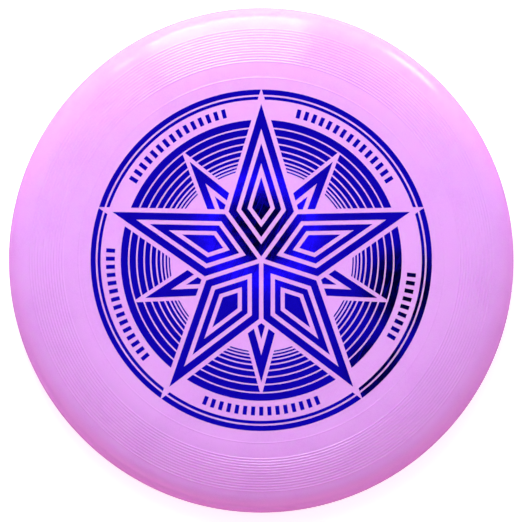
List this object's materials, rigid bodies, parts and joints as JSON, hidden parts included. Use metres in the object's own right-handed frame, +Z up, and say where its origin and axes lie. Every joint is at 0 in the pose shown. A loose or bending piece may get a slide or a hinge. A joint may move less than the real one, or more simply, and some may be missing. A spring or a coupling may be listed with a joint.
{
  "type": "flying disc",
  "caption": "Round moulded flying disc with a flat flight plate, fine concentric flight rings, a deep rounded rim and a foil print of rays and arcs.",
  "frame": {"origin": "on the disc's axis, in the plane of the rim's land that the disc rests on", "axes": "+Z up along the disc's axis, out of the printed face; +Y along the first long ray of the print; +X to the right of it seen from above"},
  "size_m": [0.274, 0.274, 0.0321],
  "materials": {
    "disc_plastic": "satin",
    "blue_foil": "gloss"
  },
  "bodies": {
    "root": {"disc_body": "disc_plastic", "foil_border_1": "blue_foil", "foil_border_2": "blue_foil", "foil_border_3": "blue_foil", "foil_border_4": "blue_foil", "foil_border_5": "blue_foil", "foil_hairline_1": "blue_foil", "foil_hairline_2": "blue_foil", "foil_hairline_3": "blue_foil", "foil_hairline_4": "blue_foil", "foil_hairline_5": "blue_foil", "foil_bars_1": "blue_foil", "foil_bars_2": "blue_foil", "foil_bars_3": "blue_foil", "foil_bars_4": "blue_foil", "foil_bars_5": "blue_foil", "foil_outer_arc_1": "blue_foil", "foil_outer_arc_2": "blue_foil", "foil_outer_arc_3": "blue_foil", "foil_outer_arc_4": "blue_foil", "foil_outer_arc_5": "blue_foil", "foil_fan_left_1": "blue_foil", "foil_fan_right_1": "blue_foil", "foil_fan_left_2": "blue_foil", "foil_fan_right_2": "blue_foil", "foil_fan_left_3": "blue_foil", "foil_fan_right_3": "blue_foil", "foil_fan_left_4": "blue_foil", "foil_fan_right_4": "blue_foil", "foil_fan_left_5": "blue_foil", "foil_fan_right_5": "blue_foil", "foil_short_ray_1": "blue_foil", "foil_short_ray_2": "blue_foil", "foil_short_ray_3": "blue_foil", "foil_short_ray_4": "blue_foil", "foil_short_ray_5": "blue_foil", "foil_long_ray_1": "blue_foil", "foil_long_ray_2": "blue_foil", "foil_long_ray_3": "blue_foil", "foil_long_ray_4": "blue_foil", "foil_long_ray_5": "blue_foil"}
  },
  "joints": []
}
